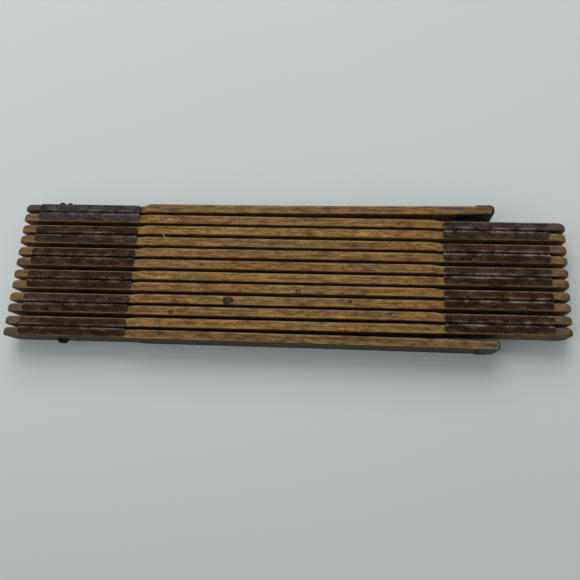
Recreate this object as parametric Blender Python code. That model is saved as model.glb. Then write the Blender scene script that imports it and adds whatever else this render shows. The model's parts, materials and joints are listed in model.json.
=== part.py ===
"""Zig-zag folding rule: twelve wooden sticks on eleven riveted spring joints, folded shut.

X runs along the sticks, Y goes through the stack and Z across a stick's width. The rule stands on
the sticks' lower long edges at Z = 0. Every joint turns about an axis along Y, and the joints
alternate between the left and the right end. Stick 1 is the one at +Y. All sizes are in metres.
"""

import math

import bmesh
import bpy
from mathutils import Vector

INCH = 0.0254
STICK_COUNT = 12

# Sticks
PIVOT_SPACING = 6 * INCH
PIVOT_INSET = 0.0265
STICK_WIDTH = 0.5 * INCH
STICK_THICKNESS = 0.125 * INCH
STACK_PITCH = 0.00435
TIP_RADIUS = 0.004
FREE_TOP_RADIUS = 0.0008
TIP_ARC_STEPS = 4

# Clearance between neighbouring pieces
GAP = 0.0003
THIN_GAP = 0.0002

# Joint plates: folded sheet metal that wraps one face and both long edges of a stick's end
METAL = 0.0004
PLATE_START = 0.00725
PLATE_END = 0.04575
PLATE_FLANGE = 0.00305
PLATE_BEND = 0.0006
BEND_STEPS = 2
SEAT_RAMP = 0.0035
TIP_SHOULDER = 0.0002
OUTER_RELIEF = 0.0003

# Rivets and spring washers
ROUND_STEPS = 16
SHANK_RADIUS = 0.0016
HEAD_RADIUS = 0.0034
HEAD_THICKNESS = 0.0004
HEAD_TOP_RADIUS = 0.0024
HEAD_CLEARANCE = 0.00055
WASHER_RADIUS = 0.0040
WASHER_THICKNESS = 0.00025

# End caps on the two free ends
CAP_OUTER_LEG = 0.0075
CAP_INNER_LEG = 0.0140
CAP_PROUD = 0.0002
CAP_ARC_ANGLE = math.radians(65)

# Clinched staples on the outer faces of the first and the last stick
STAPLE_SIZE = Vector((0.0036, 0.0016, 0.0018))
STAPLE_BEVEL = 0.0005
STAPLE_INSETS = {1: 0.0147, 12: 0.0211}

# Derived sizes
HALF_LENGTH = PIVOT_SPACING / 2 + PIVOT_INSET
HALF_WIDTH = STICK_WIDTH / 2
HALF_THICKNESS = STICK_THICKNESS / 2
PIVOT_X = PIVOT_SPACING / 2
WEB_OUTER = STACK_PITCH / 2 - GAP / 2
WEB_INNER = WEB_OUTER - METAL
SEAT_FACE = WEB_INNER - GAP
SEAT_HALF_WIDTH = HALF_WIDTH - METAL - GAP
RELIEF_FACE = HALF_THICKNESS - OUTER_RELIEF
FLANGE_EDGE = STACK_PITCH / 2 - PLATE_FLANGE
HEAD_OUTER = STACK_PITCH / 2 - HEAD_CLEARANCE
HEAD_INNER = HEAD_OUTER - HEAD_THICKNESS
WASHER_OUTER = HEAD_INNER - THIN_GAP
WASHER_INNER = WASHER_OUTER - WASHER_THICKNESS
COUNTERBORE_FACE = WASHER_INNER - GAP
CAP_SURFACE = HALF_THICKNESS + CAP_PROUD
CAP_SEAT = CAP_SURFACE - METAL - GAP
FREE_END_X = PIVOT_X - METAL - GAP


def clear_scene():
    for old in list(bpy.data.objects):
        bpy.data.objects.remove(old, do_unlink=True)


def make_material(name, colour, roughness, metallic):
    material = bpy.data.materials.new(name)
    material.use_nodes = True
    shader = material.node_tree.nodes["Principled BSDF"]
    shader.inputs["Base Color"].default_value = (*colour, 1.0)
    shader.inputs["Roughness"].default_value = roughness
    shader.inputs["Metallic"].default_value = metallic
    return material


def add_object(name, mesh_builder, material, parent, location):
    """A named object whose mesh is built around its own origin."""
    mesh = bpy.data.meshes.new(name)
    bmesh.ops.recalc_face_normals(mesh_builder, faces=mesh_builder.faces)
    mesh_builder.to_mesh(mesh)
    mesh_builder.free()
    mesh.materials.append(material)
    piece = bpy.data.objects.new(name, mesh)
    bpy.context.scene.collection.objects.link(piece)
    piece.parent = parent
    piece.location = location
    return piece


def loft(sections):
    """A closed solid through rings of points, each ring with the same number of points."""
    builder = bmesh.new()
    rings = [[builder.verts.new(point) for point in section] for section in sections]
    count = len(rings[0])
    for ring, following in zip(rings, rings[1:]):
        for index in range(count):
            beside = (index + 1) % count
            corners = (ring[index], ring[beside], following[beside], following[index])
            builder.faces.new(corners)
    builder.faces.new(rings[0])
    builder.faces.new(rings[-1])
    return builder


def turned(profile):
    """A solid of revolution about Y from (radius, y) points that start and end on the axis or close."""
    sections = []
    for radius, y in profile:
        ring = []
        for step in range(ROUND_STEPS):
            angle = 2 * math.pi * step / ROUND_STEPS
            ring.append((radius * math.cos(angle), y, radius * math.sin(angle)))
        sections.append(ring)
    return loft(sections)


def cut(piece, cutter):
    """Subtracts cutter from piece with a Boolean modifier, in piece's own space."""
    cutter.hide_render = True
    cutter.display_type = "WIRE"
    modifier = piece.modifiers.new(cutter.name, "BOOLEAN")
    modifier.operation = "DIFFERENCE"
    modifier.object = cutter


def stick_y(number):
    return ((STICK_COUNT + 1) / 2 - number) * STACK_PITCH


def joint_side(number, end):
    """Which way, along Y, a stick's joint face looks at its left (-1) or right (+1) end; 0 if free."""
    if end == 1 and number in (1, STICK_COUNT):
        return 0
    looks_down = (number % 2 == 1) == (end == -1)
    return -1 if looks_down else 1


def free_side(number):
    """Which way, along Y, an end stick's inner face looks at its free end."""
    return -1 if number == 1 else 1


def arc_angles(last_angle):
    return [last_angle * step / TIP_ARC_STEPS for step in range(TIP_ARC_STEPS + 1)]


def joint_end_stations(side):
    """Stick sections from a jointed tip inwards: (inset, joint face, outer face, bottom, top)."""
    stations = []
    for angle in arc_angles(math.pi / 2):
        inset = TIP_RADIUS * (1 - math.cos(angle))
        half = SEAT_HALF_WIDTH - TIP_RADIUS + TIP_RADIUS * math.sin(angle)
        stations.append((inset, HALF_THICKNESS, RELIEF_FACE, half))
    seat_start = PLATE_START - GAP
    seat_end = PLATE_END + GAP
    stations.append((seat_start - TIP_SHOULDER, HALF_THICKNESS, RELIEF_FACE, SEAT_HALF_WIDTH))
    stations.append((seat_start, SEAT_FACE, RELIEF_FACE, SEAT_HALF_WIDTH))
    stations.append((seat_end, SEAT_FACE, RELIEF_FACE, SEAT_HALF_WIDTH))
    stations.append((seat_end + SEAT_RAMP, HALF_THICKNESS, HALF_THICKNESS, HALF_WIDTH))
    return [(inset, face * side, -outer * side, -half, half) for inset, face, outer, half in stations]


def free_end_stations(side):
    """Stick sections from a capped free end inwards: (inset, inner face, outer face, bottom, top)."""
    stations = []
    for angle in arc_angles(math.pi / 2):
        inset = TIP_RADIUS * (1 - math.cos(angle))
        bottom = TIP_RADIUS * (1 - math.sin(angle)) - HALF_WIDTH
        top_depth = max(0, FREE_TOP_RADIUS - inset)
        top = HALF_WIDTH - FREE_TOP_RADIUS + math.sqrt(FREE_TOP_RADIUS**2 - top_depth**2)
        stations.append((inset, CAP_SEAT, CAP_SEAT, bottom, top))
    outer_end = CAP_OUTER_LEG + GAP
    inner_end = CAP_INNER_LEG + GAP
    stations.append((outer_end, CAP_SEAT, CAP_SEAT, -HALF_WIDTH, HALF_WIDTH))
    stations.append((outer_end + TIP_SHOULDER, CAP_SEAT, HALF_THICKNESS, -HALF_WIDTH, HALF_WIDTH))
    stations.append((inner_end, CAP_SEAT, HALF_THICKNESS, -HALF_WIDTH, HALF_WIDTH))
    stations.append((inner_end + TIP_SHOULDER, HALF_THICKNESS, HALF_THICKNESS, -HALF_WIDTH, HALF_WIDTH))
    return [(inset, face * side, -outer * side, low, high) for inset, face, outer, low, high in stations]


def stick_section(x, face_a, face_b, bottom, top):
    low, high = sorted((face_a, face_b))
    return [(x, low, bottom), (x, high, bottom), (x, high, top), (x, low, top)]


def build_stick(number, material, parent):
    """One wooden stick, with its milled seats, its rounded ends and its pivot holes."""
    left = joint_end_stations(joint_side(number, -1))
    sections = [stick_section(-HALF_LENGTH + s[0], *s[1:]) for s in left]
    right_side = joint_side(number, 1)
    if right_side:
        right = joint_end_stations(right_side)
        end_x = HALF_LENGTH
    else:
        right = free_end_stations(free_side(number))
        end_x = FREE_END_X
    sections += [stick_section(end_x - s[0], *s[1:]) for s in reversed(right)]
    centre = Vector((0, stick_y(number), HALF_WIDTH))
    stick = add_object(f"stick_{number:02d}", loft(sections), material, parent, centre - parent.location)
    for end in (-1, 1):
        side = joint_side(number, end)
        if side:
            cutter = build_pivot_cutter(number, end, side, material, parent)
            cutter.location = centre + Vector((end * PIVOT_X, 0, 0)) - parent.location
            cut(stick, cutter)
    return stick


def build_pivot_cutter(number, end, side, material, parent):
    """The pivot hole, with a shallow counterbore on the stick's outer face for the spring washer."""
    hole = SHANK_RADIUS + GAP
    bore = WASHER_RADIUS + GAP
    beyond = HALF_THICKNESS + 2 * GAP
    profile = [(hole, side * beyond), (hole, -side * COUNTERBORE_FACE)]
    profile += [(bore, -side * COUNTERBORE_FACE), (bore, -side * beyond)]
    where = "left" if end < 0 else "right"
    return add_object(f"cutter_stick_{number:02d}_{where}", turned(profile), material, parent, Vector())


def plate_profile(side):
    """The plate's U section as (y, z) points around its metal, with rounded bends."""
    outside = []
    inside = []
    corner_y = WEB_OUTER - PLATE_BEND
    corner_z = HALF_WIDTH - PLATE_BEND
    inner_bend = PLATE_BEND - METAL
    for up in (1, -1):
        outer_arc = []
        inner_arc = []
        for step in range(BEND_STEPS + 1):
            angle = math.pi / 2 * (1 - step / BEND_STEPS)
            unit_y, unit_z = math.cos(angle), math.sin(angle)
            outer_arc.append((corner_y + PLATE_BEND * unit_y, up * (corner_z + PLATE_BEND * unit_z)))
            inner_arc.append((corner_y + inner_bend * unit_y, up * (corner_z + inner_bend * unit_z)))
        outer_run = [(FLANGE_EDGE, up * HALF_WIDTH)] + outer_arc
        inner_run = [(FLANGE_EDGE, up * (HALF_WIDTH - METAL))] + inner_arc
        outside += outer_run if up > 0 else outer_run[::-1]
        inside += inner_run if up > 0 else inner_run[::-1]
    return [(side * y, z) for y, z in outside + inside[::-1]]


def build_plate(number, end, material, parent):
    """One joint plate, folded around the end of a stick on the side that faces its partner."""
    side = joint_side(number, end)
    half = (PLATE_END - PLATE_START) / 2
    middle_x = end * (HALF_LENGTH - (PLATE_END + PLATE_START) / 2)
    profile = plate_profile(side)
    sections = [[(x, y, z) for y, z in profile] for x in (-half, half)]
    where = "left" if end < 0 else "right"
    name = f"joint_plate_{number:02d}_{where}"
    centre = Vector((middle_x, stick_y(number), HALF_WIDTH)) - parent.location
    plate = add_object(name, loft(sections), material, parent, centre)
    hole = SHANK_RADIUS + GAP
    low, high = sorted((side * SEAT_FACE, side * STACK_PITCH / 2))
    cutter = add_object(f"cutter_{name}", turned([(hole, low), (hole, high)]), material, parent, Vector())
    cutter.location = Vector((end * PIVOT_X, stick_y(number), HALF_WIDTH)) - parent.location
    cut(plate, cutter)
    return plate


def build_rivet(joint, material, parent):
    """The pivot rivet of one joint: a shank through both sticks, with a flat head on each side."""
    reach = STACK_PITCH / 2 + HEAD_OUTER
    under = STACK_PITCH / 2 + HEAD_INNER
    profile = [(HEAD_TOP_RADIUS, reach), (HEAD_RADIUS, under), (SHANK_RADIUS, under)]
    profile += [(SHANK_RADIUS, -under), (HEAD_RADIUS, -under), (HEAD_TOP_RADIUS, -reach)]
    rivet = add_object(f"pivot_rivet_{joint:02d}", turned(profile), material, parent, Vector())
    rivet.data.shade_smooth()
    rivet.data.set_sharp_from_angle(angle=math.radians(35))
    return rivet


def build_washer(joint, material, parent):
    """The spring washer under the rivet's head on the far stick of one joint."""
    hole = SHANK_RADIUS + THIN_GAP
    centre_y = -STACK_PITCH / 2
    inner = centre_y - WASHER_INNER
    outer = centre_y - WASHER_OUTER
    builder = bmesh.new()
    rings = []
    for radius, y in ((hole, inner), (WASHER_RADIUS, inner), (WASHER_RADIUS, outer), (hole, outer)):
        circle = []
        for step in range(ROUND_STEPS):
            angle = 2 * math.pi * step / ROUND_STEPS
            circle.append(builder.verts.new((radius * math.cos(angle), y, radius * math.sin(angle))))
        rings.append(circle)
    for ring, following in zip(rings, rings[1:] + rings[:1]):
        for index in range(ROUND_STEPS):
            beside = (index + 1) % ROUND_STEPS
            builder.faces.new((ring[index], ring[beside], following[beside], following[index]))
    washer = add_object(f"spring_washer_{joint:02d}", builder, material, parent, Vector())
    washer.data.shade_smooth()
    washer.data.set_sharp_from_angle(angle=math.radians(35))
    return washer


def build_end_cap(number, material, parent):
    """The folded metal cap on a free end: a long leg inside, a short leg outside, rounded corners."""
    side = free_side(number)
    inner_face = CAP_SURFACE - METAL
    end_x = FREE_END_X + GAP
    angles = arc_angles(CAP_ARC_ANGLE)
    levels = [(-1, TIP_RADIUS, angle) for angle in reversed(angles)]
    levels += [(1, FREE_TOP_RADIUS, angle) for angle in angles]
    sections = []
    for up, radius, angle in levels:
        z = up * (HALF_WIDTH - radius + radius * math.sin(angle))
        wall_x = end_x - radius * (1 - math.cos(angle))
        outer_leg_x = FREE_END_X - CAP_OUTER_LEG
        inner_leg_x = FREE_END_X - CAP_INNER_LEG
        outline = [(outer_leg_x, -CAP_SURFACE), (wall_x + METAL, -CAP_SURFACE)]
        outline += [(wall_x + METAL, CAP_SURFACE), (inner_leg_x, CAP_SURFACE)]
        outline += [(inner_leg_x, inner_face), (wall_x, inner_face)]
        outline += [(wall_x, -inner_face), (outer_leg_x, -inner_face)]
        sections.append([(x, side * y, z) for x, y in outline])
    location = Vector((0, stick_y(number), HALF_WIDTH)) - parent.location
    return add_object(f"end_cap_{number:02d}", loft(sections), material, parent, location)


def build_staple(number, material, parent):
    """The clinched staple on the outer face of an end stick, halfway between its long edges."""
    outwards = -joint_side(number, -1)
    builder = bmesh.new()
    bmesh.ops.create_cube(builder, size=1.0)
    bmesh.ops.scale(builder, vec=STAPLE_SIZE, verts=builder.verts)
    edges = list(builder.edges)
    bmesh.ops.bevel(builder, geom=edges, offset=STAPLE_BEVEL, segments=2, affect="EDGES", profile=0.5)
    y = stick_y(number) + outwards * (RELIEF_FACE + GAP + STAPLE_SIZE.y / 2)
    location = Vector((-HALF_LENGTH + STAPLE_INSETS[number], y, HALF_WIDTH)) - parent.location
    return add_object(f"clinch_staple_{number:02d}", builder, material, parent, location)


def joint_location(joint):
    """The pivot point between stick number joint and the next one, half way between the two."""
    end = -1 if joint % 2 == 1 else 1
    return Vector((end * PIVOT_X, stick_y(joint) - STACK_PITCH / 2, HALF_WIDTH))


def add_pivot(number):
    """An empty on the axis that stick number turns about; the first stick is the fixed one."""
    pivot = bpy.data.objects.new(f"pivot_{number:02d}", None)
    pivot.location = joint_location(max(number - 1, 1))
    bpy.context.scene.collection.objects.link(pivot)
    return pivot


def main():
    clear_scene()
    wood = make_material("Boxwood", (0.36, 0.22, 0.10), 0.6, 0.0)
    plate_metal = make_material("Browned steel", (0.10, 0.055, 0.04), 0.45, 0.8)
    rivet_metal = make_material("Old brass", (0.30, 0.21, 0.10), 0.4, 1.0)
    washer_metal = make_material("Spring steel", (0.22, 0.21, 0.20), 0.4, 1.0)
    cap_metal = make_material("Blued steel", (0.05, 0.055, 0.07), 0.4, 0.9)
    pivots = {number: add_pivot(number) for number in range(1, STICK_COUNT + 1)}
    for number, pivot in pivots.items():
        build_stick(number, wood, pivot)
        build_plate(number, -1, plate_metal, pivot)
        if joint_side(number, 1):
            build_plate(number, 1, plate_metal, pivot)
    for joint in range(1, STICK_COUNT):
        rivet = build_rivet(joint, rivet_metal, pivots[joint])
        rivet.location = joint_location(joint) - pivots[joint].location
        washer = build_washer(joint, washer_metal, pivots[joint + 1])
        washer.location = joint_location(joint) - pivots[joint + 1].location
    for number in (1, STICK_COUNT):
        build_end_cap(number, cap_metal, pivots[number])
        build_staple(number, cap_metal, pivots[number])


main()
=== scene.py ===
"""The looks of a folded zig-zag rule: worn wooden sticks, browned joint plates, rivets and print.

X runs along the sticks, Y through the stack and Z across a stick's width. Sizes are in metres, and
the shapes are worked out from the frame's boxes and joints.
"""

import json
import math
import random

import bmesh
import bpy
from mathutils import Euler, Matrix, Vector, noise


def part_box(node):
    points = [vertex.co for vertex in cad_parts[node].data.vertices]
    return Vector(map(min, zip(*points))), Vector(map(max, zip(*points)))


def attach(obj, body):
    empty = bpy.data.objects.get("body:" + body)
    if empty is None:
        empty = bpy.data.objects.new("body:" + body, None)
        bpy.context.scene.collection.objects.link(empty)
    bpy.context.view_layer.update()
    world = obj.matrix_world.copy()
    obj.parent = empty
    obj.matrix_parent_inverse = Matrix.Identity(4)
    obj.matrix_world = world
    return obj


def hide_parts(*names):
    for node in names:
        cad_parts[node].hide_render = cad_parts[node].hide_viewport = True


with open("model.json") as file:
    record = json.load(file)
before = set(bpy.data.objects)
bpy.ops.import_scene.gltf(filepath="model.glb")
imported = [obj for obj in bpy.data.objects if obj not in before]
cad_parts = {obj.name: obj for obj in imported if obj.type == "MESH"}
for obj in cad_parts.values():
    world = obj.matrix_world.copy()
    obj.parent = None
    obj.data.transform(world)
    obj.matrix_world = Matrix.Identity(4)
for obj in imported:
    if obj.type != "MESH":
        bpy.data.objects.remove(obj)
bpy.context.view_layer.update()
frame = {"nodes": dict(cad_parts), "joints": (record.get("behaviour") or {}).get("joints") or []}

MM = 0.001
INCH = 0.0254

# Sizes read from the frame
STICK_NAMES = sorted(name for name in frame["nodes"] if name.startswith("stick_"))
STICK_COUNT = len(STICK_NAMES)
FIRST_LOW, FIRST_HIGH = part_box(STICK_NAMES[0])
SECOND_LOW, SECOND_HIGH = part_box(STICK_NAMES[1])
HALF_LENGTH = SECOND_HIGH.x
HALF_WIDTH = SECOND_HIGH.z / 2
HALF_THICKNESS = (SECOND_HIGH.y - SECOND_LOW.y) / 2
PITCH = (FIRST_HIGH.y + FIRST_LOW.y) / 2 - (SECOND_HIGH.y + SECOND_LOW.y) / 2
JOINTS = frame["joints"]
PIVOT_X = JOINTS[1]["pos_m"][0]
PLATE_LOW, PLATE_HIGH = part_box("joint_plate_01_left")
PLATE_START = PLATE_LOW.x + HALF_LENGTH
PLATE_END = PLATE_HIGH.x + HALF_LENGTH
CAP_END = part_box("end_cap_01")[1].x
TOP = 2 * HALF_WIDTH

# Sticks
SEAT_HALF_WIDTH = HALF_WIDTH - 0.85 * MM
SEAT_RELIEFS = {1: 0.75 * MM}
SEAT_RELIEF = 0.25 * MM
SEAT_RAMP = 4.4 * MM
TIP_RADIUS = 4.0 * MM
TIP_TAPER_LENGTH = 2.2 * MM
TIP_TAPER_DEPTH = 1.2 * MM
FREE_TOP_RADIUS = 0.8 * MM
ARRIS_RADIUS = 0.32 * MM
TIP_ARRIS_RADIUS = 0.7 * MM
STATION_STEP = 1.6 * MM
FINE_STEP = 0.6 * MM
TIP_STEPS = 12
ARRIS_STEPS = 3
FACE_STEPS = 8
EDGE_STEPS = 4
WAVE_HEIGHT = 0.07 * MM
BOW_LIMIT = 0.12 * MM
SPLAY = {1: 1.4 * MM, STICK_COUNT: -0.9 * MM}
SPLAY_START = -0.75 * PIVOT_X

# Joint plates
SHEET = 0.4 * MM
WEB_OUTER = PITCH / 2 - 0.15 * MM
FLANGE_EDGE = PITCH / 2 - 3.05 * MM
FLANGE_DROP = 0.32 * MM
PLATE_BEND = 0.75 * MM
BEND_STEPS = 6
FLANGE_STEPS = 5
WEB_STEPS = 22
PLATE_STEP = 0.5 * MM
PLATE_CORNER = 1.0 * MM
DENT_HEIGHT = 0.05 * MM
RING_RADIUS = 5.2 * MM
RING_HEIGHT = 0.10 * MM
DETENT_DISTANCE = 11.0 * MM
GREY_PLATES = {(1, -1): 0.9, (2, -1): 0.75, (2, 1): 0.5, (3, 1): 0.35}
# Strength of the bright bends at each end, partly wear and partly painted highlight: stronger on the
# right-hand joints, where the light catches them
PLATE_WEAR_AND_HIGHLIGHT = {-1: 0.55, 1: 1.0}

# Rivets and washers
ROUND_STEPS = 40
SHANK_RADIUS = 1.6 * MM
HEAD_RADIUS = 3.4 * MM
EYE_RADIUS = 1.15 * MM
EYE_DEPTH = 0.5 * MM
HEAD_PROUD = 0.3 * MM
HEAD_SUNK = 0.2 * MM
WASHER_HOLE = 1.9 * MM
WASHER_RADIUS = 4.0 * MM
WASHER_SHEET = 0.15 * MM

# End caps
CAP_OUTER_LEG = 7.5 * MM
CAP_INNER_LEG = 14.0 * MM
CAP_SURFACE = HALF_THICKNESS + 0.2 * MM
CAP_SHEET = 0.3 * MM
CAP_BEND = 1.3 * MM
CAP_CORNER = 1.4 * MM
CAP_STEPS = 32
# Light grey on the caps' edges: on the last stick's cap partly wear and partly painted highlight
CAP_WEAR_AND_HIGHLIGHT = {1: 0.0, STICK_COUNT: 1.0}
LIP_WIDTH = 1.1 * MM
LIP_LENGTH = 6.4 * MM
LIP_INSET = 1.1 * MM
LIP_BEND = 0.45 * MM
LIP_CORNER = 0.6 * MM
LIP_STEPS = 12
# Light grey on the lip's upper side, partly wear and partly painted highlight
LIP_WEAR_AND_HIGHLIGHT = [0.0, 0.0, 0.3, 1.0, 1.0, 1.0, 0.0, 0.0]

# Staples
WIRE_RADIUS = 0.62 * MM
WIRE_STEPS = 12
WIRE_FLATTENING = (1.3, 1.4)
STAPLE_STEPS = 32
STAPLE_ROOT = 1.2 * MM
STAPLE_TWIST = 0.3 * MM
STAPLE_SHIFTS = {1: 1.2 * MM, STICK_COUNT: -0.6 * MM}
STAPLE_DIPS = {1: 0.75, STICK_COUNT: 0.1}
STAPLE_DEPTHS = {1: 0.5, STICK_COUNT: 1.2}
STAPLE_SPANS = {1: 4.2 * MM, STICK_COUNT: 2.4 * MM}

# Print
TICKS_PER_INCH = 16
TICK_LENGTHS = {1: 1.5 * MM, 2: 2.0 * MM, 4: 2.6 * MM, 8: 3.2 * MM, 16: 3.9 * MM}
TICK_WIDTH = 0.28 * MM
TICK_MARGIN = 0.45 * MM
PRINT_PROUD = 0.015 * MM
PRINT_SUNK = 0.05 * MM
SLAB_MIDDLE = (PRINT_PROUD - PRINT_SUNK) / 2
SLAB_HALF = (PRINT_PROUD + PRINT_SUNK) / 2
NUMERAL_HEIGHT = 4.2 * MM
NUMERAL_SHARE_OF_SIZE = 0.73
NUMERAL_ADVANCE = 2.9 * MM
NUMERAL_OFFSET = 3.4 * MM
PIVOT_CLEARANCE = 4.6 * MM

# Camera: where it stands, how it is turned, and how far its picture is off centre
CAMERA_PLACE = (0.0297, -0.0581, 0.2332)
CAMERA_DEGREES = (17.29, 1.75, 1.67)
CAMERA_SENSOR = 36
CAMERA_LENS = 39.06
CAMERA_SHIFT = (-0.0948, -0.0765)

# Light, as (name, place, diameter, power, colour), and the dim surround
LIGHTS = [
    ("key_light", Vector((-0.08, 0.62, 0.76)), 0.85, 6.2, (1.0, 0.99, 0.97)),
    ("side_light", Vector((-0.55, -0.10, 0.70)), 0.5, 1.2, (0.95, 0.98, 1.0)),
]
SURROUND_COLOUR = (0.95, 0.985, 1.0, 1.0)
SURROUND_STRENGTH = 0.42
FLOOR_SIZE = 2.0

rng = random.Random(7)
BOWS = {number: rng.uniform(-BOW_LIMIT, BOW_LIMIT) for number in range(1, STICK_COUNT + 1)}


def stick_y(number):
    return ((STICK_COUNT + 1) / 2 - number) * PITCH


def joint_side(number, end):
    """Which way, along Y, a stick's joint face looks at its left (-1) or right (+1) end; 0 if free."""
    if end == 1 and number in (1, STICK_COUNT):
        return 0
    looks_down = (number % 2 == 1) == (end == -1)
    return -1 if looks_down else 1


def free_side(number):
    """Which way, along Y, an end stick's inner face looks."""
    return -1 if number == 1 else 1


def body_of_stick(number):
    return f"section_{number:02d}"


def mix(low, high, share):
    return low + (high - low) * share


def smooth_share(value, start, length):
    share = min(1.0, max(0.0, (value - start) / length))
    return share * share * (3 - 2 * share)


def round_off(inset, radius):
    """How far an outline with a round corner has drawn in, at a distance inset from its end."""
    if inset >= radius:
        return 0.0
    return radius - math.sqrt(max(0.0, radius * radius - (radius - inset) ** 2))


def arc(centre, radius, start, end, steps):
    """Points on an arc between two angles in degrees, both ends included."""
    points = []
    for step in range(steps + 1):
        angle = math.radians(mix(start, end, step / steps))
        points.append((centre[0] + radius * math.cos(angle), centre[1] + radius * math.sin(angle)))
    return points


def bend_y(number, x):
    """How far a stick is warped along Y at x: a slight bow, and the end sticks' splay at their free ends."""
    along = min(1.0, abs(x) / PIVOT_X)
    splay_share = max(0.0, (x - SPLAY_START) / (PIVOT_X - SPLAY_START))
    return BOWS[number] * (1 - along * along) + SPLAY.get(number, 0.0) * splay_share**1.8


def make_object(name, builder, material, body, nodes=()):
    """Turns a bmesh into a smooth-shaded piece that rides on a body and stands for CAD nodes."""
    bmesh.ops.recalc_face_normals(builder, faces=builder.faces)
    mesh = bpy.data.meshes.new(name)
    builder.to_mesh(mesh)
    builder.free()
    mesh.materials.append(material)
    piece = bpy.data.objects.new(name, mesh)
    bpy.context.scene.collection.objects.link(piece)
    mesh.shade_smooth()
    mesh.set_sharp_from_angle(angle=math.radians(40))
    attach(piece, body)
    if nodes:
        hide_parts(*nodes)
    return piece


def store(piece, name, values):
    """Keeps one number for each of a piece's points, for its material to read."""
    attribute = piece.data.attributes.new(name, "FLOAT", "POINT")
    attribute.data.foreach_set("value", values)


def loft(sections, ring=False):
    """A closed skin through loops of points; as a ring, the last loop joins the first one."""
    builder = bmesh.new()
    loops = [[builder.verts.new(point) for point in section] for section in sections]
    count = len(loops[0])
    following_loops = loops[1:] + loops[:1] if ring else loops[1:]
    for loop, following in zip(loops, following_loops):
        for index in range(count):
            beside = (index + 1) % count
            builder.faces.new((loop[index], loop[beside], following[beside], following[index]))
    if not ring:
        builder.faces.new(loops[0])
        builder.faces.new(loops[-1])
    return builder


# ---------------------------------------------------------------- finishes


class Finish:
    """A node material under construction, with short calls for the nodes that the finishes share."""

    def __init__(self, name):
        self.material = bpy.data.materials.new(name)
        self.material.use_nodes = True
        self.tree = self.material.node_tree
        self.shader = self.tree.nodes["Principled BSDF"]
        self.place = self.tree.nodes.new("ShaderNodeTexCoord").outputs["Object"]

    def plug(self, socket, value):
        if isinstance(value, bpy.types.NodeSocket):
            self.tree.links.new(value, socket)
        elif isinstance(value, tuple) and len(value) == 3 and socket.type == "RGBA":
            socket.default_value = (*value, 1.0)
        else:
            socket.default_value = value

    def set(self, **values):
        """Fills the shader's sockets, named in lower case with underscores."""
        sockets = {socket.name.lower().replace(" ", "_"): socket for socket in self.shader.inputs}
        for name, value in values.items():
            self.plug(sockets[name], value)
        return self.material

    def moved(self, scale, shift=(0, 0, 0)):
        mapping = self.tree.nodes.new("ShaderNodeMapping")
        mapping.inputs["Scale"].default_value = scale
        mapping.inputs["Location"].default_value = shift
        self.plug(mapping.inputs["Vector"], self.place)
        return mapping.outputs["Vector"]

    def noise(self, stretch, detail=4.0, roughness=0.55):
        """Noise with features of about 1 / stretch metres along each axis."""
        texture = self.tree.nodes.new("ShaderNodeTexNoise")
        self.plug(texture.inputs["Vector"], self.moved(stretch))
        self.plug(texture.inputs["Scale"], 1.0)
        self.plug(texture.inputs["Detail"], detail)
        self.plug(texture.inputs["Roughness"], roughness)
        return texture.outputs["Fac"]

    def ramp(self, value, *stops):
        """Maps a value through (position, grey or colour) stops."""
        node = self.tree.nodes.new("ShaderNodeValToRGB")
        elements = node.color_ramp.elements
        while len(elements) < len(stops):
            elements.new(0.5)
        for element, (position, colour) in zip(elements, stops):
            element.position = position
            element.color = (*colour, 1.0) if isinstance(colour, tuple) else (colour, colour, colour, 1.0)
        self.plug(node.inputs["Fac"], value)
        return node.outputs["Color"]

    def math(self, operation, first, second=0.0):
        node = self.tree.nodes.new("ShaderNodeMath")
        node.operation = operation
        self.plug(node.inputs[0], first)
        self.plug(node.inputs[1], second)
        return node.outputs[0]

    def blend(self, share, first, second, mode="MIX"):
        node = self.tree.nodes.new("ShaderNodeMix")
        node.data_type = "RGBA"
        node.blend_type = mode
        self.plug(node.inputs[0], share)
        self.plug(node.inputs[6], first)
        self.plug(node.inputs[7], second)
        return node.outputs[2]

    def shade(self, share, colour, tone):
        """Multiplies a colour by a tone, by a share."""
        return self.blend(share, colour, tone, "MULTIPLY")

    def attribute(self, name):
        node = self.tree.nodes.new("ShaderNodeAttribute")
        node.attribute_name = name
        return node.outputs["Fac"]

    def distance(self, centre, radii):
        """Distance from a point, counted in radii along each axis."""
        shift = [-place / radius for place, radius in zip(centre, radii)]
        length = self.tree.nodes.new("ShaderNodeVectorMath")
        length.operation = "LENGTH"
        self.plug(length.inputs[0], self.moved([1 / radius for radius in radii], shift))
        return length.outputs["Value"]

    def bump(self, height, distance, strength=1.0):
        node = self.tree.nodes.new("ShaderNodeBump")
        self.plug(node.inputs["Strength"], strength)
        self.plug(node.inputs["Distance"], distance)
        self.plug(node.inputs["Height"], height)
        self.plug(self.shader.inputs["Normal"], node.outputs["Normal"])


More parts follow.
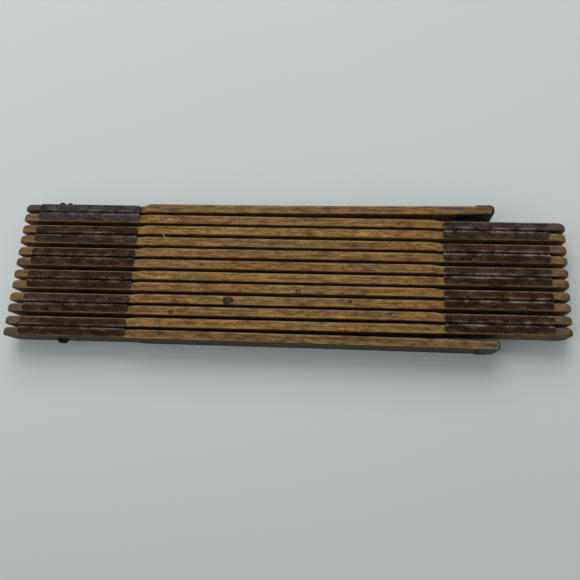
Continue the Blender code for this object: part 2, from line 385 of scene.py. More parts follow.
def wood_finish():
    """Aged hardwood: lengthwise grain, yellow and red-brown bands, dirty seats, arrises lightened as wear and
    as painted highlight, and painted shade over the first stick.
    """
    finish = Finish("aged_stick_wood")
    streak = finish.noise((60, 2400, 2400), detail=6, roughness=0.65)
    band = finish.noise((16, 300, 150), detail=3, roughness=0.5)
    fleck = finish.noise((700, 2800, 2800), detail=4, roughness=0.7)
    blotch = finish.noise((190, 700, 300), detail=4, roughness=0.65)
    grain = finish.ramp(
        streak, (0.28, (0.070, 0.031, 0.006)), (0.48, (0.160, 0.079, 0.018)), (0.70, (0.30, 0.175, 0.052))
    )
    hue = finish.ramp(band, (0.36, (1.0, 0.86, 0.80)), (0.52, (1.0, 0.98, 0.9)), (0.66, (0.98, 1.06, 0.8)))
    colour = finish.shade(1.0, grain, hue)
    colour = finish.shade(1.0, colour, finish.attribute("tone"))
    colour = finish.shade(0.9, colour, finish.ramp(blotch, (0.34, 0.40), (0.52, 1.0), (0.70, 1.3)))
    colour = finish.shade(1.0, colour, finish.ramp(fleck, (0.34, 0.20), (0.46, 1.0), (0.64, 1.5)))
    # Arrises lightened: rubbed wood and painted highlight
    rub_and_highlight = finish.math("MULTIPLY", finish.attribute("arris"), finish.ramp(blotch, (0.36, 0.15), (0.6, 0.9)))
    colour = finish.blend(rub_and_highlight, colour, (0.33, 0.21, 0.085))
    bare = finish.math("MULTIPLY", finish.attribute("bare"), finish.ramp(blotch, (0.38, 0.2), (0.56, 0.95)))
    colour = finish.blend(bare, colour, (0.30, 0.20, 0.055))
    # Dirt round the plates and on the tips, and painted shade over the whole first stick
    grime_and_shade = finish.math("MULTIPLY", finish.attribute("grime_and_shade"), finish.ramp(blotch, (0.38, 1.0), (0.66, 0.35)))
    colour = finish.blend(grime_and_shade, colour, (0.058, 0.046, 0.037))
    dull = finish.ramp(streak, (0.3, (0.028, 0.017, 0.010)), (0.7, (0.064, 0.040, 0.025)))
    face = finish.blend(finish.attribute("exposed"), finish.shade(1.0, colour, (0.85, 0.80, 0.8)), dull)
    colour = finish.blend(finish.attribute("face"), colour, face)
    warp = finish.math("MULTIPLY", fleck, 1.4)
    for centre, radii, middle in MARKS:
        reach = finish.math("ADD", finish.distance(centre, radii), finish.math("SUBTRACT", warp, 0.7))
        mark = finish.ramp(reach, (0.25, middle), (0.55, 1.0), (0.8, 1.0), (1.0, 0.0))
        colour = finish.blend(mark, colour, (0.010, 0.006, 0.003))
    height = finish.math("ADD", finish.math("MULTIPLY", streak, 0.8), finish.math("MULTIPLY", fleck, 0.6))
    finish.bump(height, 0.12 * MM, 0.9)
    rough = finish.math("ADD", finish.math("MULTIPLY", streak, -0.3), 0.76)
    return finish.set(base_color=colour, roughness=rough, specular_ior_level=0.2)


def plate_finish():
    """Browned sheet metal: mottled patina, blue-grey on some plates, and bright streaks on the bends that are
    partly rubbed metal and partly painted highlight.
    """
    finish = Finish("browned_plate_metal")
    mottle = finish.noise((230, 420, 420), detail=5, roughness=0.62)
    fine = finish.noise((1500, 2600, 2600), detail=4, roughness=0.62)
    brown = finish.ramp(
        mottle, (0.34, (0.015, 0.0045, 0.001)), (0.52, (0.031, 0.011, 0.0035)), (0.68, (0.060, 0.030, 0.016))
    )
    grey = finish.ramp(mottle, (0.34, (0.024, 0.019, 0.019)), (0.68, (0.072, 0.062, 0.064)))
    colour = finish.blend(finish.attribute("grey"), brown, grey)
    colour = finish.shade(0.9, colour, finish.ramp(fine, (0.36, 0.35), (0.52, 1.0), (0.66, 2.2)))
    bright_patches = finish.ramp(mottle, (0.42, 0.1), (0.62, 1.0))
    rub_and_highlight = finish.math("MULTIPLY", finish.attribute("wear_and_highlight"), bright_patches)
    rub_and_highlight = finish.math("MULTIPLY", rub_and_highlight, finish.ramp(fine, (0.40, 0.2), (0.6, 1.0)))
    # Bright streaks: rubbed metal and painted highlight on the crests of the bends
    colour = finish.blend(rub_and_highlight, colour, (0.30, 0.25, 0.22))
    finish.bump(finish.math("ADD", fine, mottle), 0.10 * MM, 0.7)
    rough = finish.blend(rub_and_highlight, finish.ramp(fine, (0.3, 0.62), (0.7, 0.45)), (0.32, 0.32, 0.32))
    metallic = finish.math("MULTIPLY", rub_and_highlight, 0.6)
    return finish.set(base_color=colour, roughness=rough, metallic=metallic, specular_ior_level=0.06)


def metal_finish(name, dark, light, roughness, metallic):
    """Small dull metalwork with a mottled tone, fine pits, and light grey on rubbed edges, which on the last
    cap and its lip is partly painted highlight.
    """
    finish = Finish(name)
    mottle = finish.noise((500, 700, 700), detail=5, roughness=0.6)
    fine = finish.noise((3200, 3200, 3200), detail=3)
    colour = finish.ramp(mottle, (0.32, dark), (0.68, light))
    # Light grey where rubbed, which on the last cap and its lip is partly painted highlight
    rub_and_highlight = finish.math("MULTIPLY", finish.attribute("wear_and_highlight"), finish.ramp(fine, (0.35, 0.5), (0.6, 1.0)))
    colour = finish.blend(rub_and_highlight, colour, (0.15, 0.145, 0.105))
    finish.bump(fine, 0.06 * MM, 0.6)
    rough = finish.ramp(fine, (0.3, roughness + 0.12), (0.7, roughness - 0.06))
    return finish.set(base_color=colour, roughness=rough, metallic=metallic, specular_ior_level=0.2)


def print_finish():
    """Black printing ink, rubbed thin in places so that it turns brown."""
    finish = Finish("worn_black_print")
    rub = finish.noise((900, 900, 900), detail=4, roughness=0.65)
    colour = finish.ramp(rub, (0.42, (0.003, 0.003, 0.003)), (0.66, (0.016, 0.012, 0.009)))
    return finish.set(base_color=colour, roughness=finish.ramp(rub, (0.35, 0.5), (0.65, 0.75)))


def floor_finish():
    """A pale cool table top with the faintest mottling, and painted shade that darkens it towards the front.
    """
    finish = Finish("pale_floor")
    tone = finish.noise((3, 3, 3), detail=2)
    colour = finish.ramp(tone, (0.3, (0.550, 0.585, 0.58)), (0.7, (0.570, 0.60, 0.595)))
    split = finish.tree.nodes.new("ShaderNodeSeparateXYZ")
    finish.plug(split.inputs[0], finish.place)
    # Painted shade: the table top darkens towards the front, in place of the light falling off
    front = finish.math("ADD", finish.math("MULTIPLY", split.outputs["Y"], 3.0), 0.6)
    colour = finish.shade(1.0, colour, finish.ramp(front, (0.2, 0.84), (0.6, 1.0)))
    return finish.set(base_color=colour, roughness=0.8)


# Marks on the sticks' upper edges, as (centre, reach, darkness of the middle): a knot and three rings
MARKS = [
    ((-20.5 * MM, stick_y(9) - 0.2 * MM, TOP), (2.2 * MM, 1.7 * MM, 1.5 * MM), 0.75),
    ((4.6 * MM, stick_y(8) - 0.8 * MM, TOP), (1.1 * MM, 1.0 * MM, 0.9 * MM), 0.0),
    ((23.3 * MM, stick_y(9) + 0.3 * MM, TOP), (0.9 * MM, 0.8 * MM, 0.8 * MM), 0.3),
    ((-40.7 * MM, stick_y(10) - 0.5 * MM, TOP), (1.1 * MM, 0.9 * MM, 0.8 * MM), 0.1),
]

# Where a splinter lies across a gap, and where a plate is scratched, as (x, y) of both ends
SPLINTER = ((-48.0 * MM, stick_y(3) - 0.4 * MM), (-45.3 * MM, stick_y(4) + 0.4 * MM))
SCRATCH = ((-75.9 * MM, stick_y(3) + 0.9 * MM), (-73.6 * MM, stick_y(3) - 1.3 * MM))

# How light the wood of each stick is, how dark a whole stick is (dirt, and on the first stick also painted
# shade), and how dirty its tips are beyond the plates, as (left, right); the sticks left out are plain, and
# their tips are lightly soiled
STICK_TONES = {3: 1.15, 7: 1.06, 8: 1.06, 10: 0.97, STICK_COUNT: 0.72}
STICK_GRIME_AND_SHADE = {1: 0.2}
TIP_GRIME = {1: (1.6, 0.0), 2: (0.5, 1.2), 3: (0.8, 0.5), 10: (0.9, 0.8), 11: (1.1, 1.0), 12: (1.0, 0.0)}


# ---------------------------------------------------------------- sticks


def section_outline(low, high, bottom, top, radius):
    """A rounded rectangle across a stick, with the same number of points whatever its size."""
    radius = min(radius, 0.45 * (high - low), 0.45 * (top - bottom))
    outline = []
    corners = [(high, top), (low, top), (low, bottom), (high, bottom)]
    inwards = [(-1, -1), (1, -1), (1, 1), (-1, 1)]
    for index, ((y, z), (in_y, in_z)) in enumerate(zip(corners, inwards)):
        centre = (y + in_y * radius, z + in_z * radius)
        outline += arc(centre, radius, 90 * index, 90 * index + 90, ARRIS_STEPS)
        next_y, next_z = corners[(index + 1) % 4]
        next_in_y, next_in_z = inwards[(index + 1) % 4]
        first = outline[-1]
        if index % 2 == 0:
            last = (next_y + next_in_y * radius, next_z)
            steps = EDGE_STEPS
        else:
            last = (next_y, next_z + next_in_z * radius)
            steps = FACE_STEPS
        for step in range(1, steps):
            outline.append((mix(first[0], last[0], step / steps), mix(first[1], last[1], step / steps)))
    return outline


def seat_outer_face(number):
    """How far a stick's outer face is from its centre line where the plates hold it."""
    return HALF_THICKNESS - SEAT_RELIEFS.get(number, SEAT_RELIEF)


def jointed_section(number, inset, side):
    """(low y, high y, bottom z, top z) of a stick at a distance inset from a jointed tip."""
    seat = 1 - smooth_share(inset, PLATE_END + 0.1 * MM, SEAT_RAMP)
    half = mix(HALF_WIDTH, SEAT_HALF_WIDTH, seat) - round_off(inset, TIP_RADIUS)
    thin = TIP_TAPER_DEPTH * round_off(inset / TIP_TAPER_LENGTH, 1.0)
    outer_face = mix(HALF_THICKNESS, seat_outer_face(number), seat) - thin
    low, high = sorted((side * (HALF_THICKNESS - thin), -side * outer_face))
    return low, high, -half, half


def free_section(inset, side):
    """(low y, high y, bottom z, top z) of a stick at a distance inset from a capped free end."""
    under_cap = CAP_SURFACE - CAP_SHEET - 0.02 * MM
    thin = round_off(inset, CAP_BEND - CAP_SHEET)
    inner_face = (under_cap if inset < CAP_INNER_LEG else HALF_THICKNESS) - thin
    outer_face = (under_cap if inset < CAP_OUTER_LEG else HALF_THICKNESS) - thin
    low, high = sorted((side * inner_face, -side * outer_face))
    bottom = round_off(inset, TIP_RADIUS) - HALF_WIDTH
    return low, high, bottom, HALF_WIDTH - round_off(inset, FREE_TOP_RADIUS)


def stick_end(number):
    """X of a stick's right-hand end."""
    return HALF_LENGTH if joint_side(number, 1) else CAP_END - CAP_SHEET - 0.03 * MM


def section_at(number, x):
    """(low y, high y, bottom z, top z) of a stick at x, about its own centre line."""
    end_x = stick_end(number)
    if x < (end_x - HALF_LENGTH) / 2:
        return jointed_section(number, x + HALF_LENGTH, joint_side(number, -1))
    if joint_side(number, 1):
        return jointed_section(number, HALF_LENGTH - x, joint_side(number, 1))
    return free_section(end_x - x, free_side(number))


def insets(length):
    """Distances from an end, close together round the tip's corner and at the end of the seat."""
    values = []
    for step in range(TIP_STEPS + 1):
        values.append(0.02 * MM + TIP_RADIUS * (1 - math.cos(math.pi / 2 * step / TIP_STEPS)))
    while values[-1] < length:
        near_ramp = PLATE_END - MM < values[-1] < PLATE_END + SEAT_RAMP
        values.append(values[-1] + (FINE_STEP if near_ramp else STATION_STEP))
    return values[:-1] + [length]


def worn_down(number, x, z):
    """A height on a stick's long edge, lowered a little at random as hand-worn wood is."""
    share = min(1.0, max(0.0, (abs(z) / HALF_WIDTH - 0.6) / 0.3))
    sample = noise.noise(Vector((x * 90, number * 3.7, 0.5 if z > 0 else 9.5)))
    return z - math.copysign(abs(sample) * WAVE_HEIGHT * share, z)


def joint_insets(number, x):
    """Each jointed end as (end, how far x is from its tip)."""
    return [(end, HALF_LENGTH - end * x) for end in (-1, 1) if joint_side(number, end)]


def stick_grime_and_shade(number, x):
    """How dark the wood is at x: dirt a little round the plates and more on some tips, and painted shade over
    the whole first stick.
    """
    amount = STICK_GRIME_AND_SHADE.get(number, 0.0)
    for end, inset in joint_insets(number, x):
        tip = TIP_GRIME.get(number, (0.5, 0.5))[0 if end < 0 else 1]
        round_plate = 0.35 * (1 - smooth_share(inset, PLATE_END - MM, 3 * MM))
        on_tip = tip * (1 - smooth_share(inset, PLATE_START, 2 * MM))
        on_end = 1.0 - smooth_share(inset, 0.0, 1.0 * MM)
        amount = max(amount, round_plate if inset > PLATE_START else 0.0, on_tip, on_end)
    return amount


def stick_bareness(number, x, y):
    """How much fresh yellow wood shows at a point: most on the outer arris just past each plate."""
    amount = 0.0
    for end, inset in joint_insets(number, x):
        outwards = -joint_side(number, end) * y / HALF_THICKNESS
        near = math.exp(-(((inset - PLATE_END - 1.4 * MM) / (1.3 * MM)) ** 2))
        amount = max(amount, near * min(1.0, max(0.0, 0.1 + outwards)))
    return amount


def build_stick(number, material):
    """One wooden stick with its milled seats, ramps, rounded tips and eased arrises."""
    end_x = stick_end(number)
    middle = (end_x - HALF_LENGTH) / 2
    left = [inset - HALF_LENGTH for inset in insets(middle + HALF_LENGTH)]
    right = [end_x - inset for inset in insets(end_x - middle)]
    sections = []
    marks = {"arris": [], "grime_and_shade": [], "bare": [], "face": [], "exposed": [], "tone": []}
    outwards = {1: 1, STICK_COUNT: -1}.get(number, 0)
    for x in left[:-1] + right[::-1]:
        low, high, bottom, top = section_at(number, x)
        centre = stick_y(number) + bend_y(number, x)
        nearest_tip = min(inset for _, inset in joint_insets(number, x))
        radius = mix(TIP_ARRIS_RADIUS, ARRIS_RADIUS, smooth_share(nearest_tip, 0.3 * PLATE_START, MM))
        section = []
        for y, z in section_outline(low, high, bottom, top, radius):
            section.append((x, centre + y, HALF_WIDTH + worn_down(number, x, z)))
            from_face = min(high - y, y - low)
            from_edge = min(top - z, z - bottom)
            marks["arris"].append(max(0.0, 1 - max(from_face, from_edge) / (2.0 * ARRIS_RADIUS)))
            marks["face"].append(1.0 if from_face < 0.35 * radius else 0.0)
            marks["exposed"].append(1.0 if outwards * y > 0.3 * HALF_THICKNESS else 0.0)
            marks["tone"].append(STICK_TONES.get(number, 1.0))
            marks["grime_and_shade"].append(stick_grime_and_shade(number, x))
            marks["bare"].append(stick_bareness(number, x, y))
        sections.append(section)
    name = STICK_NAMES[number - 1]
    piece = make_object(f"{name}_wood", loft(sections), material, body_of_stick(number), [name])
    for mark, values in marks.items():
        store(piece, mark, values)


# ---------------------------------------------------------------- joint plates


def plate_half_outline(edge):
    """The outer and the inner side of half a plate's section, from a flange's edge to the web's middle."""
    corner = (WEB_OUTER - PLATE_BEND, HALF_WIDTH - PLATE_BEND)
    outer = []
    for step in range(FLANGE_STEPS):
        y = mix(edge, corner[0], step / FLANGE_STEPS)
        drop = FLANGE_DROP * ((corner[0] - y) / (corner[0] - FLANGE_EDGE)) ** 1.6
        outer.append((y, HALF_WIDTH - drop))
    inner = [(y, z - SHEET) for y, z in outer]
    outer += arc(corner, PLATE_BEND, 90, 0, BEND_STEPS)
    inner += arc(corner, PLATE_BEND - SHEET, 90, 0, BEND_STEPS)
    for step in range(1, WEB_STEPS // 2 + 1):
        z = mix(corner[1], 0.0, step / (WEB_STEPS // 2))
        outer.append((WEB_OUTER, z))
        inner.append((WEB_OUTER - SHEET, z))
    return outer, inner


def plate_outline(edge):
    """A plate's whole U section: its outer side and its inner side, each from top to bottom."""
    outer, inner = plate_half_outline(edge)
    outer += [(y, -z) for y, z in reversed(outer[:-1])]
    inner += [(y, -z) for y, z in reversed(inner[:-1])]
    return outer, inner


def web_relief(along, z):
    """How far the web is pressed out round its rivet and at its two detents."""
    radius = math.hypot(along, z)
    ring = RING_HEIGHT * math.exp(-(((radius - RING_RADIUS) / (0.7 * MM)) ** 2))
    detent = math.hypot(abs(along) - DETENT_DISTANCE, z)
    return ring - RING_HEIGHT * math.exp(-((detent / (1.1 * MM)) ** 2))


def plate_wear_and_highlight(y, z):
    """How bright a plate is made, partly as rubbed metal and partly as painted highlight: most on the crests
    of its bends, a little on the flanges' edges.
    """
    if abs(z) < HALF_WIDTH - 1.2 * MM:
        return 0.2
    crest = math.exp(-(((y - WEB_OUTER + 0.6 * PLATE_BEND) / (0.35 * MM)) ** 2))
    return crest + 0.35 * math.exp(-(((y - FLANGE_EDGE) / (0.15 * MM)) ** 2))


def build_plate(number, end, material):
    """One folded joint plate, with crimped flanges, soft bends, dents and a pressed web."""
    side = joint_side(number, end)
    length = PLATE_END - PLATE_START
    stations = round(length / PLATE_STEP)
    sections = []
    wear_and_highlight = []
    for station in range(stations + 1):
        share = station / stations
        along = length * mix(share, 0.5 - 0.5 * math.cos(math.pi * share), 0.4)
        x = end * (HALF_LENGTH - PLATE_START - along)
        from_end = min(along, length - along) + 0.02 * MM
        outer, inner = plate_outline(FLANGE_EDGE + round_off(from_end, PLATE_CORNER))
        section = []
        for y, z in outer:
            dent = noise.noise(Vector((x * 260, (side * y + stick_y(number)) * 340, z * 340))) - 0.3
            flange_share = min(1.0, max(0.0, (WEB_OUTER - y) / PLATE_BEND))
            out = (1 - flange_share) * web_relief(x - end * PIVOT_X, z)
            up = math.copysign(flange_share * dent * DENT_HEIGHT, dent * z)
            section.append((x, stick_y(number) + side * (y + out), HALF_WIDTH + z + up))
            # Rubbed metal and painted highlight on the outer side of the bends
            wear_and_highlight.append(plate_wear_and_highlight(y, z) * PLATE_WEAR_AND_HIGHLIGHT[end])
        for y, z in reversed(inner):
            section.append((x, stick_y(number) + side * y, HALF_WIDTH + z))
            wear_and_highlight.append(0.0)
        sections.append(section)
    node = f"joint_plate_{number:02d}_{'left' if end < 0 else 'right'}"
    body = body_of_stick(number)
    piece = make_object(f"{node}_sheet", loft(sections), material, body, [node])
    store(piece, "wear_and_highlight", wear_and_highlight)
    grey = GREY_PLATES.get((number, end), max(0.0, rng.uniform(-0.2, 0.2)))
    store(piece, "grey", [grey] * len(wear_and_highlight))


# ---------------------------------------------------------------- rivets and washers


def turned(profile, centre):
    """A skin of revolution about an axis along Y, from (radius, y) points that start and end on the axis."""
    builder = bmesh.new()
    loops = []
    for radius, y in profile:
        steps = ROUND_STEPS if radius else 1
        loop = []
        for step in range(steps):
            angle = 2 * math.pi * step / steps
            offset = Vector((radius * math.cos(angle), y, radius * math.sin(angle)))
            loop.append(builder.verts.new(centre + offset))
        loops.append(loop)
    for loop, following in zip(loops, loops[1:]):
        for index in range(ROUND_STEPS):
            beside = (index + 1) % ROUND_STEPS
            corners = [loop[index % len(loop)], loop[beside % len(loop)]]
            corners += [following[beside % len(following)], following[index % len(following)]]
            builder.faces.new(list(dict.fromkeys(corners)))
    return builder


def rolled_head(base, top):
    """A tubular rivet's rolled head as (radius, y) points, from the middle of its eye to its shank."""
    rise = top - base
    profile = [(0, base - EYE_DEPTH), (0.9 * EYE_RADIUS, base - EYE_DEPTH), (EYE_RADIUS, base + 0.3 * rise)]
    for step in range(1, 9):
        angle = math.pi * step / 8
        radius = mix(EYE_RADIUS, HEAD_RADIUS, 0.5 - 0.5 * math.cos(angle))
        profile.append((radius, base + rise * (0.35 + 0.65 * math.sin(angle) ** 0.8)))
    profile[-1] = (HEAD_RADIUS, base + 0.25 * rise)
    return profile + [(HEAD_RADIUS - 0.1 * MM, base), (SHANK_RADIUS, base)]


def build_rivet(joint, material):
    """A tubular rivet through one joint, rolled over into a ring-shaped head on both sides."""
    near_face = PITCH / 2 + seat_outer_face(joint)
    far_face = PITCH / 2 + seat_outer_face(joint + 1)
    near = rolled_head(near_face - HEAD_SUNK, near_face + HEAD_PROUD)
    far = rolled_head(far_face - HEAD_SUNK, far_face + HEAD_PROUD)
    profile = near + [(radius, -y) for radius, y in reversed(far)]
    builder = turned(profile, Vector(JOINTS[joint - 1]["pos_m"]))
    node = f"pivot_rivet_{joint:02d}"
    make_object(f"{node}_tube", builder, material, body_of_stick(joint), [node])


def build_washer(joint, material):
    """The dished spring washer under the rivet's head on the far stick of one joint."""
    centre = Vector(JOINTS[joint - 1]["pos_m"])
    seat = PITCH / 2 + seat_outer_face(joint + 1) - 0.06 * MM
    section = []
    for step in range(5):
        share = step / 4
        section.append((mix(WASHER_HOLE, WASHER_RADIUS, share), seat + 0.3 * WASHER_SHEET * (1 - share**2)))
    section += [(radius, y + WASHER_SHEET) for radius, y in reversed(section)]
    loops = []
    for step in range(ROUND_STEPS):
        angle = 2 * math.pi * step / ROUND_STEPS
        ray = Vector((math.cos(angle), 0, math.sin(angle)))
        loops.append([centre + radius * ray - Vector((0, y, 0)) for radius, y in section])
    node = f"spring_washer_{joint:02d}"
    builder = loft(loops, ring=True)
    make_object(f"{node}_dish", builder, material, body_of_stick(joint + 1), [node])


# ---------------------------------------------------------------- end caps and staples


def cap_outline(wall_x, outer_start, inner_start):
    """The folded sheet of a cap at one height: round its outside, and back along its inside."""
    level = CAP_SURFACE - CAP_BEND
    outside = [(outer_start, -CAP_SURFACE)]
    inside = [(outer_start, CAP_SHEET - CAP_SURFACE)]
    for turn in (-1, 1):
        start = -90 if turn < 0 else 0
        centre = (wall_x - CAP_BEND, turn * level)
        outside += arc(centre, CAP_BEND, start, start + 90, BEND_STEPS)
        inside += arc(centre, CAP_BEND - CAP_SHEET, start, start + 90, BEND_STEPS)
    outside.append((inner_start, CAP_SURFACE))
    inside.append((inner_start, CAP_SURFACE - CAP_SHEET))
    return outside + inside[::-1]


def cap_levels():
    """Heights about a stick's centre line, close together at both of its long edges."""
    levels = []
    for step in range(CAP_STEPS + 1):
        share = step / CAP_STEPS
        levels.append(HALF_WIDTH * mix(2 * share - 1, -math.cos(math.pi * share), 0.8))
    return levels


def build_end_cap(number, material):
    """The cap on a free end: a short leg outside, a long one inside, and a wall round the stick's end."""
    side = free_side(number)
    sections = []
    wear_and_highlight = []
    for z in cap_levels():
        from_edge = HALF_WIDTH - abs(z)
        wall_x = CAP_END - round_off(from_edge, FREE_TOP_RADIUS if z > 0 else TIP_RADIUS)
        cut_back = round_off(from_edge, CAP_CORNER)
        outline = cap_outline(wall_x, CAP_END - CAP_OUTER_LEG + cut_back, CAP_END - CAP_INNER_LEG + cut_back)
        section = []
        for x, y in outline:
            section.append((x, stick_y(number) + bend_y(number, x) + side * y, HALF_WIDTH + z))
            on_edge = from_edge < 0.1 * MM and x > CAP_END - CAP_BEND
            # Painted highlight and wear on the last cap's edges
            wear_and_highlight.append(CAP_WEAR_AND_HIGHLIGHT[number] if on_edge else 0.0)
        sections.append(section)
    node = f"end_cap_{number:02d}"
    body = body_of_stick(number)
    piece = make_object(f"{node}_sheet", loft(sections), material, body, [node])
    store(piece, "wear_and_highlight", wear_and_highlight)


def build_cap_lip(material):
    """A narrow lip of the last stick's cap, folded over the outer arris of its upper edge."""
    number = STICK_COUNT
    sections = []
    wear_and_highlight = []
    for step in range(LIP_STEPS + 1):
        x = CAP_END - LIP_INSET - LIP_LENGTH * step / LIP_STEPS
        from_end = min(step, LIP_STEPS - step) / LIP_STEPS * LIP_LENGTH + 0.05 * MM
        reach = LIP_WIDTH - round_off(from_end, LIP_CORNER)
        outline = arc((LIP_BEND - CAP_SURFACE, HALF_WIDTH - 0.41 * MM), LIP_BEND, 180, 90, 4)
        outline += [(reach - CAP_SURFACE, HALF_WIDTH), (reach - CAP_SURFACE, HALF_WIDTH - 0.25 * MM)]
        outline.append((0.2 * MM - CAP_SURFACE, HALF_WIDTH - 0.8 * MM))
        centre = stick_y(number) + bend_y(number, x)
        sections.append([(x, centre + y, HALF_WIDTH + z) for y, z in outline])
        # Painted highlight and wear on the lip's upper side
        wear_and_highlight += LIP_WEAR_AND_HIGHLIGHT
    name = f"end_cap_{number:02d}_lip"
    piece = make_object(name, loft(sections), material, body_of_stick(number))
    store(piece, "wear_and_highlight", wear_and_highlight)


def build_staple(number, material):
    """A clinched staple: wire that comes out of the wood, humps twice and goes back in."""
    node = f"clinch_staple_{number:02d}"
    low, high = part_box(node)
    outwards = -joint_side(number, -1)
    reach = (high.y - low.y) - WIRE_RADIUS * STAPLE_DEPTHS[number]
    base = low.y if outwards > 0 else high.y
    centre = (low + high) / 2
    half_span = STAPLE_SPANS[number] / 2
    path = []
    for step in range(STAPLE_STEPS + 1):
        angle = math.pi * step / STAPLE_STEPS
        rise = math.sin(angle) ** 0.45 * (1 - STAPLE_DIPS[number] * math.sin(angle) ** 12)
        x = centre.x - half_span * math.cos(angle)
        z = centre.z + STAPLE_SHIFTS[number] + STAPLE_TWIST * math.sin(2 * angle)
        path.append(Vector((x, base + outwards * mix(-STAPLE_ROOT, reach, rise), z)))
    wide, tall = WIRE_FLATTENING
    sections = []
    for step, point in enumerate(path):
        tangent = (path[min(step + 1, STAPLE_STEPS)] - path[max(step - 1, 0)]).normalized()
        across = tangent.cross(Vector((0, 0, 1))).normalized()
        upwards = across.cross(tangent)
        loop = []
        for share_across, share_up in arc((0, 0), WIRE_RADIUS, 0, 360, WIRE_STEPS)[:-1]:
            loop.append(point + across * wide * share_across + upwards * tall * share_up)
        sections.append(loop)
    make_object(f"{node}_wire", loft(sections), material, body_of_stick(number), [node])


# ---------------------------------------------------------------- splinter and scratch


def build_sliver(name, ends, width, lift, material, number):
    """A thin closed blade that tapers at both of its ends, lying a little above a stick's upper edge."""
    start, end = (Vector((x, y, TOP)) for x, y in ends)
    across = (end - start).cross(Vector((0, 0, 1))).normalized() * width / 2
    sections = []
    for step in range(9):
        share = step / 8
        spread = across * (0.08 + 0.92 * math.sin(math.pi * share))
        middle = start.lerp(end, share) + Vector((0, 0, lift * math.sin(math.pi * share)))
        below = middle + Vector((0, 0, -width / 2 - lift))
        sections.append([middle + spread, middle - spread, below - spread * 0.6, below + spread * 0.6])
    make_object(name, loft(sections), material, body_of_stick(number))


# ---------------------------------------------------------------- print


def digit_shapes():
    """Each numeral as a thin closed slab, from Blender's own font: its points and its faces."""
    shapes = {}
    for character in "0123456789":
        curve = bpy.data.curves.new("numeral", "FONT")
        curve.body = character
        curve.size = NUMERAL_HEIGHT / NUMERAL_SHARE_OF_SIZE
        curve.align_x = "CENTER"
        curve.align_y = "CENTER"
        curve.extrude = SLAB_HALF
        curve.resolution_u = 3
        text = bpy.data.objects.new("numeral", curve)
        bpy.context.scene.collection.objects.link(text)
        bpy.context.view_layer.update()
        builder = bmesh.new()
        builder.from_mesh(text.to_mesh())
        bmesh.ops.remove_doubles(builder, verts=builder.verts, dist=MM / 2000)
        points = [tuple(vertex.co) for vertex in builder.verts]
        shapes[character] = (points, [[vertex.index for vertex in face.verts] for face in builder.faces])
        builder.free()
        bpy.data.objects.remove(text)
        bpy.data.curves.remove(curve)
    return shapes


def add_slab(builder, points, faces):
    """Adds a slab's faces to a bmesh."""
    vertices = [builder.verts.new(point) for point in points]
    for face in faces:
        builder.faces.new([vertices[index] for index in face])


# A tick's corners as (across, along, depth), each -1 or 1, and its six sides
TICK_CORNERS = [(across, along, depth) for depth in (-1, 1) for along in (-1, 1) for across in (-1, 1)]
TICK_SIDES = [(0, 1, 3, 2), (4, 6, 7, 5), (0, 4, 5, 1), (2, 3, 7, 6), (0, 2, 6, 4), (1, 5, 7, 3)]


class PrintedFace:
    """One wide face of a stick: where its inches run, and how flat print is laid on it."""

    def __init__(self, number, side):
        self.number = number
        self.side = side
        odd = number % 2 == 1
        self.start = 1 if odd == (side > 0) else -1
        self.up = 1 if odd else -1
        self.first_inch = 6 * ((number if side > 0 else STICK_COUNT + 1 - number) - 1)
        self.from_free_end = self.first_inch == 0
        self.to_free_end = self.first_inch == 6 * (STICK_COUNT - 1)

    def x_at(self, inches):
        return self.start * (PIVOT_X - inches * INCH)

    def bounds(self):
        """The first and the last inch mark, counted from where this stick's own inches start."""
        first = (CAP_OUTER_LEG + 0.3 * MM) / INCH if self.from_free_end else 1.06
        last = 6 + (HALF_LENGTH - PIVOT_X - 1.6 * MM) / INCH
        if self.to_free_end:
            last = 6 - (CAP_INNER_LEG + 0.3 * MM) / INCH
        return first, last

    def place(self, x, y_shift, z):
        """A point on the face at x and z, lifted off the wood by y_shift."""
        low, high = section_at(self.number, x)[:2]
        face_y = high if self.side > 0 else low
        centre = stick_y(self.number) + bend_y(self.number, x)
        return (x, centre + face_y + self.side * y_shift, HALF_WIDTH + z)

    def tick_points(self, x, middle, length):
        """The corners of one graduation whose middle is at x and at the height middle."""
        points = []
        for across, along, depth in TICK_CORNERS:
            z = middle + along * length / 2
            points.append(self.place(x + across * TICK_WIDTH / 2, SLAB_MIDDLE + depth * SLAB_HALF, z))
        return points

    def numeral_points(self, shape, x, offset):
        """A numeral's points, moved along the reading direction by offset from x."""
        points = []
        for along, upwards, depth in shape:
            reading = -self.start * (along + offset)
            points.append(self.place(x + reading, SLAB_MIDDLE + depth, self.up * upwards))
        return points


def tick_length(index):
    """A graduation's length from how its sixteenth divides the inch."""
    return max(length for step, length in TICK_LENGTHS.items() if index % step == 0)


def print_face(builder, face, digits):
    """Ticks along both edges of one face, and a numeral before each inch."""
    first, last = face.bounds()
    for index in range(math.ceil(first * TICKS_PER_INCH), math.floor(last * TICKS_PER_INCH) + 1):
        x = face.x_at(index / TICKS_PER_INCH)
        top = section_at(face.number, x)[3] - TICK_MARGIN
        near_pivot = abs(abs(x) - PIVOT_X) < PIVOT_CLEARANCE and not face.from_free_end
        length = TICK_LENGTHS[1] / 2 if near_pivot else tick_length(index)
        for edge in (-1, 1):
            add_slab(builder, face.tick_points(x, edge * (top - length / 2), length), TICK_SIDES)
    for inch in range(math.ceil(first), math.floor(last) + 1):
        x = face.x_at(inch) + face.start * NUMERAL_OFFSET
        if inch == 6 and not face.to_free_end or face.from_free_end and inch == 0:
            continue
        text = str(face.first_inch + inch)
        for position, character in enumerate(text):
            offset = (position - (len(text) - 1) / 2) * NUMERAL_ADVANCE
            shape, faces = digits[character]
            add_slab(builder, face.numeral_points(shape, x, offset), faces)


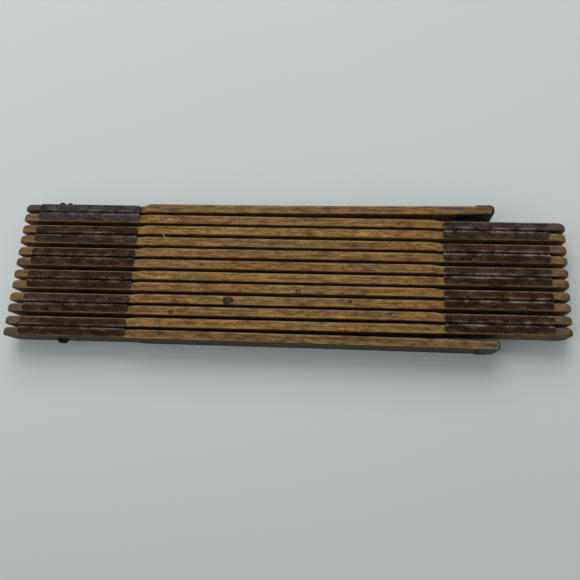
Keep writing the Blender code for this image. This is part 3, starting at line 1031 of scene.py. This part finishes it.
def build_print(number, material, digits):
    """The graduations and numerals on both wide faces of one stick."""
    builder = bmesh.new()
    for side in (-1, 1):
        print_face(builder, PrintedFace(number, side), digits)
    make_object(f"print_{number:02d}", builder, material, body_of_stick(number))


# ---------------------------------------------------------------- studio


def build_floor():
    """A wide plain table top under the rule."""
    builder = bmesh.new()
    bmesh.ops.create_grid(builder, x_segments=8, y_segments=8, size=FLOOR_SIZE)
    mesh = bpy.data.meshes.new("floor")
    builder.to_mesh(mesh)
    builder.free()
    mesh.materials.append(floor_finish())
    floor = bpy.data.objects.new("floor", mesh)
    bpy.context.scene.collection.objects.link(floor)


def add_light(name, place, size, power, colour):
    """A round soft light that faces the rule."""
    data = bpy.data.lights.new(name, "AREA")
    data.shape = "DISK"
    data.size = size
    data.energy = power
    data.color = colour
    light = bpy.data.objects.new(name, data)
    light.location = place
    light.rotation_mode = "QUATERNION"
    light.rotation_quaternion = (-place).to_track_quat("-Z", "Y")
    bpy.context.scene.collection.objects.link(light)


def build_lights():
    """A large soft light behind and above the rule, a weaker one beside it, and a dim surround."""
    for name, place, size, power, colour in LIGHTS:
        add_light(name, place, size, power, colour)
    world = bpy.data.worlds.new("surround")
    world.use_nodes = True
    background = world.node_tree.nodes["Background"]
    background.inputs["Color"].default_value = SURROUND_COLOUR
    background.inputs["Strength"].default_value = SURROUND_STRENGTH
    bpy.context.scene.world = world
    bpy.context.scene.view_settings.view_transform = "Standard"


def build_camera():
    """A camera that looks down on the rule from in front of it, slightly turned and off centre."""
    data = bpy.data.cameras.new("camera")
    data.sensor_width = CAMERA_SENSOR
    data.lens = CAMERA_LENS
    data.shift_x, data.shift_y = CAMERA_SHIFT
    camera = bpy.data.objects.new("camera", data)
    camera.location = CAMERA_PLACE
    camera.rotation_euler = Euler([math.radians(degrees) for degrees in CAMERA_DEGREES], "XYZ")
    bpy.context.scene.collection.objects.link(camera)
    bpy.context.scene.camera = camera


def build_rule():
    """The whole rule: its finishes, then every piece in the order of the sticks and the joints."""
    wood = wood_finish()
    plate = plate_finish()
    brass = metal_finish("old_rivet_brass", (0.030, 0.020, 0.011), (0.085, 0.060, 0.032), 0.45, 0.7)
    steel = metal_finish("dull_spring_steel", (0.030, 0.028, 0.026), (0.080, 0.075, 0.070), 0.45, 0.7)
    blued = metal_finish("blued_cap_steel", (0.007, 0.008, 0.011), (0.026, 0.027, 0.034), 0.45, 0.3)
    black = metal_finish("blackened_wire", (0.006, 0.006, 0.006), (0.020, 0.018, 0.017), 0.5, 0.2)
    splinter = metal_finish("fresh_splinter", (0.30, 0.21, 0.08), (0.45, 0.34, 0.15), 0.6, 0.0)
    scratched = metal_finish("scratched_sheet", (0.08, 0.065, 0.055), (0.13, 0.11, 0.095), 0.4, 0.5)
    ink = print_finish()
    digits = digit_shapes()
    for number in range(1, STICK_COUNT + 1):
        build_stick(number, wood)
        build_print(number, ink, digits)
        for end in (-1, 1):
            if joint_side(number, end):
                build_plate(number, end, plate)
    for joint in range(1, STICK_COUNT):
        build_rivet(joint, brass)
        build_washer(joint, steel)
    for number in (1, STICK_COUNT):
        build_end_cap(number, blued)
        build_staple(number, black)
    build_cap_lip(blued)
    build_sliver("splinter", SPLINTER, 0.3 * MM, 0.05 * MM, splinter, 3)
    build_sliver("plate_scratch", SCRATCH, 0.16 * MM, 0.015 * MM, scratched, 3)


build_rule()
build_floor()
build_lights()
build_camera()
